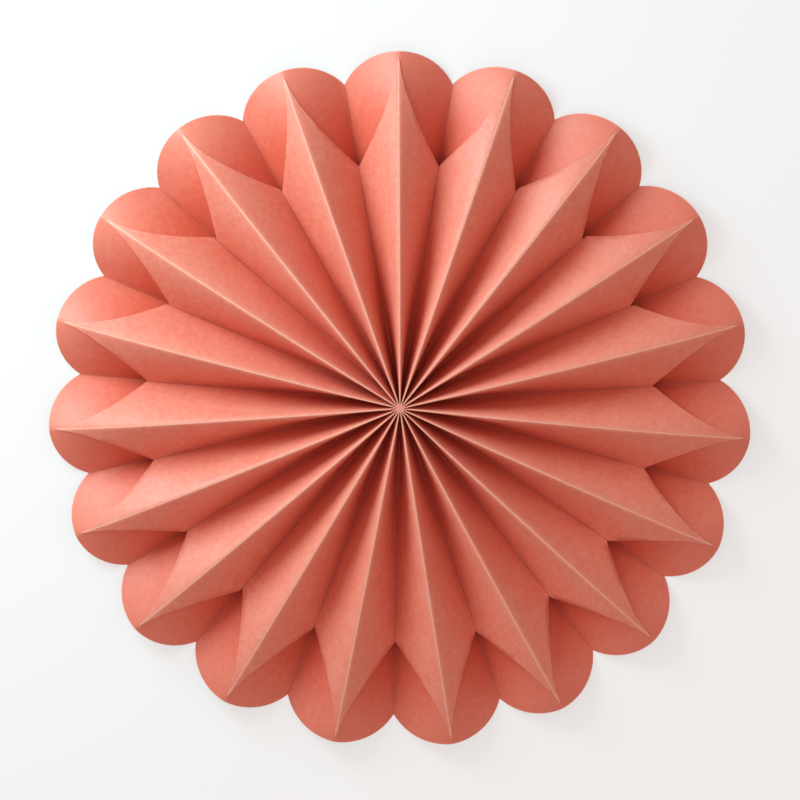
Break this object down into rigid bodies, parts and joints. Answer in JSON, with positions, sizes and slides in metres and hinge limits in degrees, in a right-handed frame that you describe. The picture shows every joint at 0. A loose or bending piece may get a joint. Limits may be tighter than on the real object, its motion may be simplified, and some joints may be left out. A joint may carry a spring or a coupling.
{
  "type": "paper fan rosette",
  "caption": "Round folded-paper rosette for walls and parties: a pleated star with needle points, glued crest on crest to a pleated collar whose folds end in round lobes.",
  "frame": {"origin": "on the axis of the folds, in the plane that the back's valley folds lie in when the rosette rests on a table or hangs flat against a wall", "axes": "+Z out of the face, towards the viewer; one fold runs along +Y, which is the top when it hangs; +X to the viewer's right"},
  "size_m": [0.2992, 0.2983, 0.0268],
  "materials": {
    "front_paper": "matte",
    "back_paper": "matte"
  },
  "bodies": {
    "root": {"pointed_front_fan": "front_paper", "scalloped_back_fan": "back_paper"}
  },
  "joints": []
}
